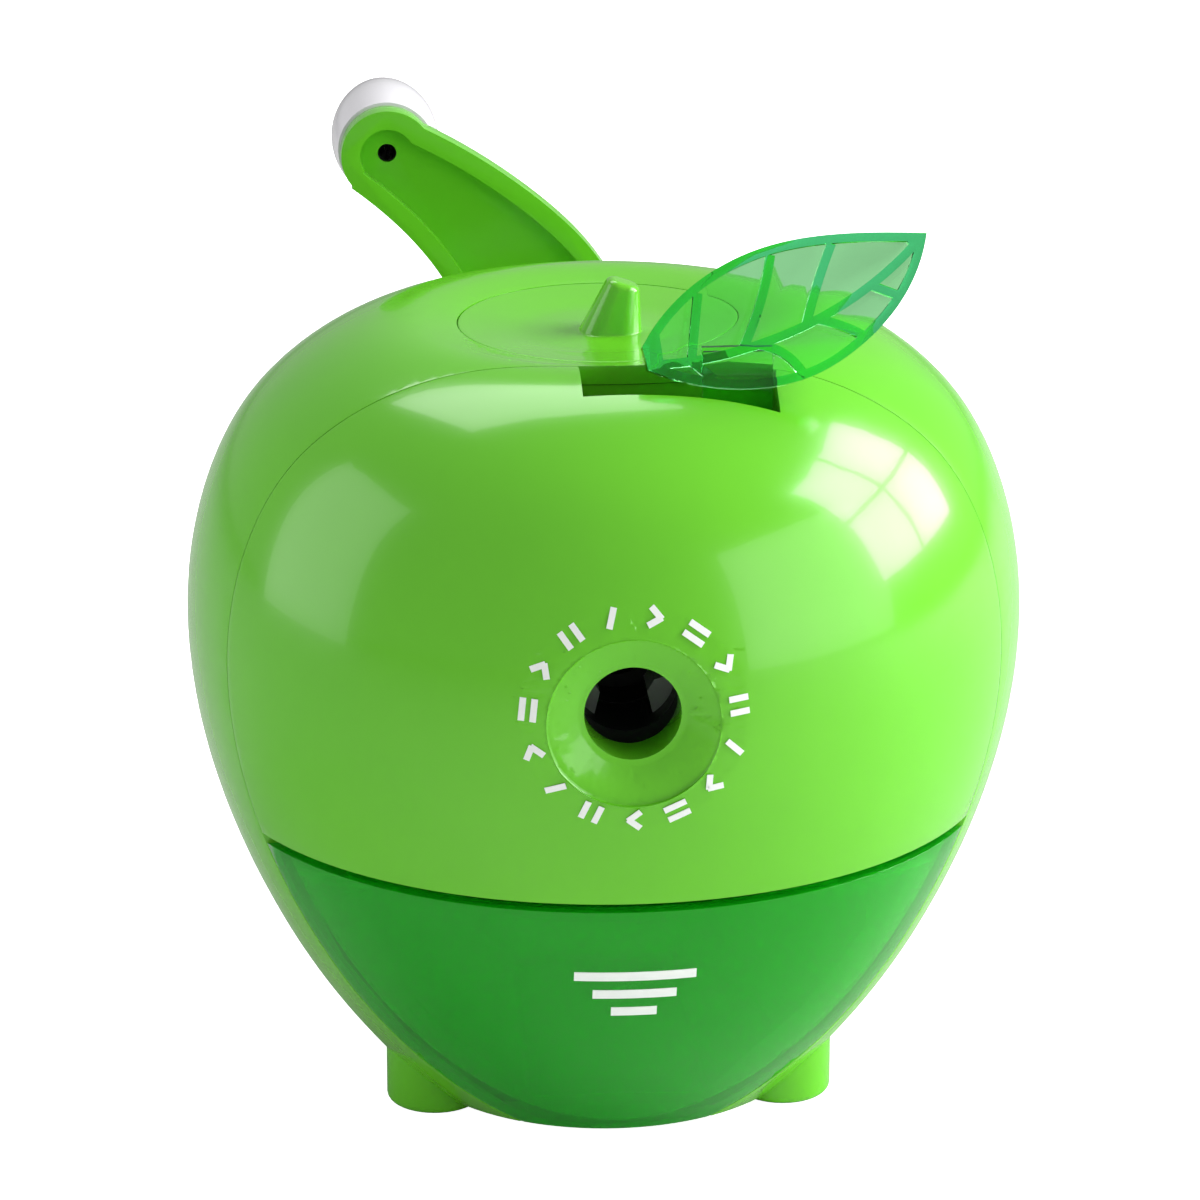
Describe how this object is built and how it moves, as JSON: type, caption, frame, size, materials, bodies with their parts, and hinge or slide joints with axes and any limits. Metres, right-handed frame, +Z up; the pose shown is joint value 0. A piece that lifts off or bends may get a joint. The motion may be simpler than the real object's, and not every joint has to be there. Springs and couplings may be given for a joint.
{
  "type": "pencil sharpener",
  "caption": "Apple-shaped hand-crank desk pencil sharpener with a pull-out self-feeding front, leaf lever for the chuck, planetary cutter and shavings drawer.",
  "frame": {"origin": "on the table under the middle of the round casing, at the feet's soles", "axes": "X to the right seen from the pencil hole, Y to the back along the pencil, Z up"},
  "size_m": [0.1, 0.131, 0.1113],
  "materials": {
    "green_casing": "glossy moulded green plastic",
    "green_clear": "deep green transparent plastic, polished",
    "leaf_clear": "emerald transparent plastic, polished",
    "white_knob": "glossy white plastic",
    "dark_mechanism": "black moulded nylon, satin",
    "grey_mechanism": "light grey acetal, satin",
    "steel": "bright drawn steel",
    "tool_steel": "hardened ground tool steel",
    "spring_steel": "plated spring wire",
    "bronze": "sintered bronze"
  },
  "bodies": {
    "root": {"rear_shell": "green_casing", "top_cap": "green_casing", "face_plate": "green_casing", "face_plate_screws": "steel", "ring_gear": "grey_mechanism", "gear_screws": "steel", "cutter_hood": "dark_mechanism", "hood_screws": "steel", "crank_bush": "bronze", "rod_bush_left": "grey_mechanism", "rod_bush_right": "grey_mechanism", "feed_spring_left": "spring_steel", "feed_spring_right": "spring_steel"},
    "front_carriage": {"front_shell": "green_casing", "chuck_housing": "dark_mechanism", "chuck_cover": "dark_mechanism", "carriage_screws": "steel", "guide_rod_left": "steel", "guide_rod_right": "steel", "rod_clips": "spring_steel", "lever_spring": "spring_steel"},
    "chuck_lever": {"cam_ring": "grey_mechanism", "leaf_lever": "leaf_clear", "lever_rivets": "steel"},
    "jaw_1": {"chuck_jaw_1": "grey_mechanism"},
    "jaw_2": {"chuck_jaw_2": "grey_mechanism"},
    "jaw_3": {"chuck_jaw_3": "grey_mechanism"},
    "crank": {"crank_arm": "green_casing", "crank_shaft": "steel", "crank_screw": "steel", "knob_pin": "steel", "cutter_carrier": "dark_mechanism", "cutter_axle": "steel"},
    "cutter": {"helical_cutter": "tool_steel", "cutter_gear": "dark_mechanism"},
    "knob_grip": {"knob": "white_knob"},
    "shavings_drawer": {"drawer": "green_clear"}
  },
  "joints": [
    {"name": "carriage_slide", "type": "slide", "parent": "root", "child": "front_carriage", "axis": [0, -1, 0], "range_m": [0, 0.022], "stiffness_N_per_m": 60, "springref_m": -0.02, "deforming": ["feed_spring_left", "feed_spring_right"]},
    {"name": "lever_swing", "type": "hinge", "parent": "front_carriage", "child": "chuck_lever", "pos_m": [0, -0.025, 0.0625], "axis": [0, -1, 0], "range_deg": [0, 18], "stiffness_Nm_per_rad": 0.05, "springref_deg": -15, "deforming": ["lever_spring"]},
    {"name": "jaw_1_slide", "type": "slide", "parent": "front_carriage", "child": "jaw_1", "axis": [0, 0, 1], "range_m": [0, 0.002]},
    {"name": "jaw_2_slide", "type": "slide", "parent": "front_carriage", "child": "jaw_2", "axis": [-0.866, 0, -0.5], "range_m": [0, 0.002]},
    {"name": "jaw_3_slide", "type": "slide", "parent": "front_carriage", "child": "jaw_3", "axis": [0.866, 0, -0.5], "range_m": [0, 0.002]},
    {"name": "crank_turn", "type": "hinge", "parent": "root", "child": "crank", "pos_m": [0, 0.05, 0.0625], "axis": [0, 1, 0], "continuous": true},
    {"name": "cutter_spin", "type": "hinge", "parent": "crank", "child": "cutter", "pos_m": [0, -0.014, 0.0745], "axis": [0, 0.9848, -0.1736], "continuous": true},
    {"name": "knob_spin", "type": "hinge", "parent": "crank", "child": "knob_grip", "pos_m": [-0.0237, 0.065, 0.1019], "axis": [0, 1, 0], "continuous": true},
    {"name": "drawer_slide", "type": "slide", "parent": "root", "child": "shavings_drawer", "axis": [0, -1, 0], "range_m": [0, 0.042]}
  ],
  "couplings": [
    {"joint": "jaw_1_slide", "follows": "lever_swing", "m_per_rad": 0.0063662},
    {"joint": "jaw_2_slide", "follows": "lever_swing", "m_per_rad": 0.0063662},
    {"joint": "jaw_3_slide", "follows": "lever_swing", "m_per_rad": 0.0063662},
    {"joint": "cutter_spin", "follows": "crank_turn", "ratio": -3}
  ]
}
